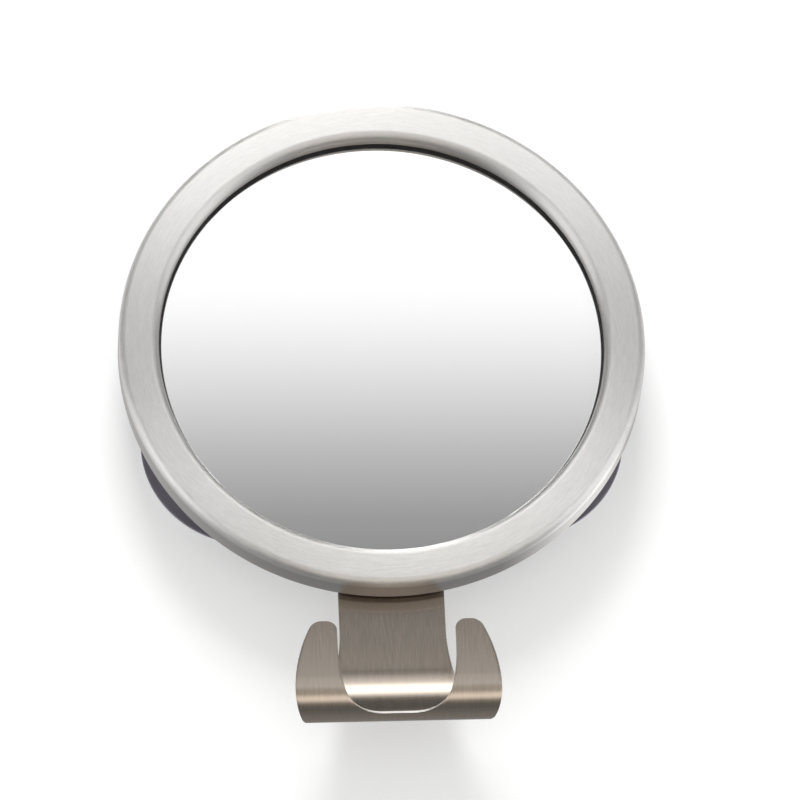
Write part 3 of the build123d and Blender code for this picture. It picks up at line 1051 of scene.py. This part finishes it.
# The middle of the card shows in the mirror and the hook, and its wings in the sides of the ring.
card_y = -0.5
card_low, card_high = -1.0, 2.2
card_half = 0.85
card_slope = 0.02
far_start, far_end = 0.2, 0.42
low_end, high_start = -0.1, 0.0
low_tint = (1.0, 0.93, 0.85, 1.0)
card_paint, tree, output = stage_material("reflected_card")
apart = add(tree, "ShaderNodeSeparateXYZ", {0: add(tree, "ShaderNodeTexCoord").outputs["Object"]})
across = apart.outputs["X"]
height = add(
    tree, "ShaderNodeMath", {0: across, 1: card_slope, 2: apart.outputs["Z"]}, operation="MULTIPLY_ADD"
).outputs[0]
middle = brightness(
    tree,
    height,
    [
        (-1.0, 0.25),
        (-0.78, 0.28),
        (-0.66, 0.5),
        (-0.5, 1.1),
        (-0.4, 1.4),
        (-0.3, 1.15),
        (-0.17, 0.5),
        (-0.07, 0.5),
        (0.0, 0.8),
        (0.088, 0.86),
        (0.097, 0.4),
        (0.102, 0.13),
        (0.118, 0.2),
        (0.13, 0.27),
        (0.137, 0.31),
        (0.15, 0.36),
        (0.16, 0.43),
        (0.1755, 0.552),
        (0.193, 0.723),
        (0.213, 0.923),
        (0.232, 1.1),
        (0.29, 1.3),
        (0.325, 2.7),
        (0.36, 4.0),
        (0.47, 4.0),
        (0.53, 1.9),
        (0.6, 0.7),
        (0.68, 0.12),
        (2.2, 0.12),
    ],
)
high_wing = brightness(
    tree, across, [(-0.85, 0.3), (-0.2, 0.35), (-0.1, 1.0), (0.1, 1.0), (0.2, 0.55), (0.85, 0.42)]
)
low_wing = brightness(
    tree, across, [(-0.85, 0.4), (-0.3, 0.4), (-0.1, 1.0), (0.12, 1.0), (0.3, 1.3), (0.85, 1.3)]
)
low_wing = add(
    tree,
    "ShaderNodeMix",
    {"Factor": 1.0, "A": low_wing, "B": low_tint},
    data_type="RGBA",
    blend_type="MULTIPLY",
)
above = add(tree, "ShaderNodeMapRange", {"Value": height, "From Min": low_end, "From Max": high_start})
wing = add(
    tree,
    "ShaderNodeMix",
    {"Factor": above.outputs[0], "A": low_wing.outputs["Result"], "B": high_wing},
    data_type="RGBA",
)
near = add(
    tree,
    "ShaderNodeMix",
    {"Factor": 1.0, "A": middle, "B": wing.outputs["Result"]},
    data_type="RGBA",
    blend_type="MULTIPLY",
)
sides = brightness(
    tree,
    height,
    [
        (-0.5, 0.35),
        (-0.24, 1.5),
        (0.03, 1.35),
        (0.1, 0.72),
        (0.135, 0.62),
        (0.3, 0.45),
        (0.6, 0.5),
        (0.9, 0.5),
        (1.2, 0.25),
        (2.2, 0.2),
    ],
)
aside = add(tree, "ShaderNodeMath", {0: across}, operation="ABSOLUTE")
far = add(
    tree, "ShaderNodeMapRange", {"Value": aside.outputs[0], "From Min": far_start, "From Max": far_end}
)
whole = add(
    tree,
    "ShaderNodeMix",
    {"Factor": far.outputs[0], "A": near.outputs["Result"], "B": sides},
    data_type="RGBA",
)
glow = add(tree, "ShaderNodeEmission", {"Color": whole.outputs["Result"]})
tree.links.new(glow.outputs[0], output.inputs["Surface"])
card = sheet_of(
    "card",
    [
        (-card_half, card_y, card_low),
        (-card_half, card_y, card_high),
        (card_half, card_y, card_high),
        (card_half, card_y, card_low),
    ],
    card_paint,
)
card.visible_camera = False
card.visible_diffuse = False
card.visible_shadow = False

room_grey = (0.68, 0.68, 0.68, 1.0)
white = (1.0, 1.0, 1.0, 1.0)
world = bpy.data.worlds.new("studio")
bpy.context.scene.world = world
world.use_nodes = True
tree = world.node_tree
tree.nodes.clear()
output = add(tree, "ShaderNodeOutputWorld")
up = add(
    tree, "ShaderNodeSeparateXYZ", {0: add(tree, "ShaderNodeTexCoord").outputs["Generated"]}
).outputs["Z"]
sky = brightness(
    tree,
    up,
    [
        (-1.0, 0.18),
        (-0.86, 0.18),
        (-0.7, 0.45),
        (-0.35, 1.2),
        (0.1, 1.2),
        (0.3, 0.5),
        (0.5, 0.3),
        (0.7, 0.15),
        (0.98, 0.15),
        (0.988, 8.5),
        (1.0, 8.5),
    ],
)
path = add(tree, "ShaderNodeLightPath").outputs
mirrored = add(tree, "ShaderNodeBackground", {"Color": sky})
seen = add(tree, "ShaderNodeBackground", {"Color": white})
plain = add(tree, "ShaderNodeBackground", {"Color": room_grey})
shiny = add(
    tree, "ShaderNodeMath", {0: path["Is Glossy Ray"], 1: path["Is Transmission Ray"]}, operation="ADD"
)
indoors = add(
    tree, "ShaderNodeMixShader", {"Fac": shiny.outputs[0], 1: plain.outputs[0], 2: mirrored.outputs[0]}
)
either = add(
    tree, "ShaderNodeMixShader", {"Fac": path["Is Camera Ray"], 1: indoors.outputs[0], 2: seen.outputs[0]}
)
tree.links.new(either.outputs[0], output.inputs["Surface"])


def soft_lamp(name, place, size, power):
    """A square soft lamp at a place, turned to face the mirror. Metal reflects the card instead of it."""
    lamp = bpy.data.lights.new(name, "AREA")
    lamp.shape = "SQUARE"
    lamp.size = size
    lamp.energy = power
    holder = bpy.data.objects.new(name, lamp)
    holder.location = place
    holder.rotation_euler = (-Vector(place)).to_track_quat("-Z", "Y").to_euler()
    holder.visible_glossy = False
    holder.visible_transmission = False
    bpy.context.scene.collection.objects.link(holder)


soft_lamp("key", place=(-0.06, -0.76, 0.96), size=0.48, power=11.6)
soft_lamp("back", place=(0.5, 1.6, 0.9), size=1.2, power=16.0)

camera_aim = Vector((4.70, -16.06, -15.80)) * MM
camera_distance = 2.558
camera_azimuth = math.radians(3.7)
camera_elevation = math.radians(23.379)
camera_roll = math.radians(-2.6)
ahead = Vector(
    (
        math.sin(camera_azimuth) * math.cos(camera_elevation),
        math.cos(camera_azimuth) * math.cos(camera_elevation),
        math.sin(camera_elevation),
    )
)
camera_data = bpy.data.cameras.new("camera")
camera_data.lens = 405.0
camera_data.sensor_width = 36.0
camera_data.clip_end = 50.0
camera = bpy.data.objects.new("camera", camera_data)
turn = ahead.to_track_quat("-Z", "Y").to_matrix() @ Matrix.Rotation(camera_roll, 3, "Z")
camera.matrix_world = Matrix.Translation(camera_aim - ahead * camera_distance) @ turn.to_4x4()
bpy.context.scene.collection.objects.link(camera)
bpy.context.scene.camera = camera
bpy.context.scene.view_settings.view_transform = "Standard"
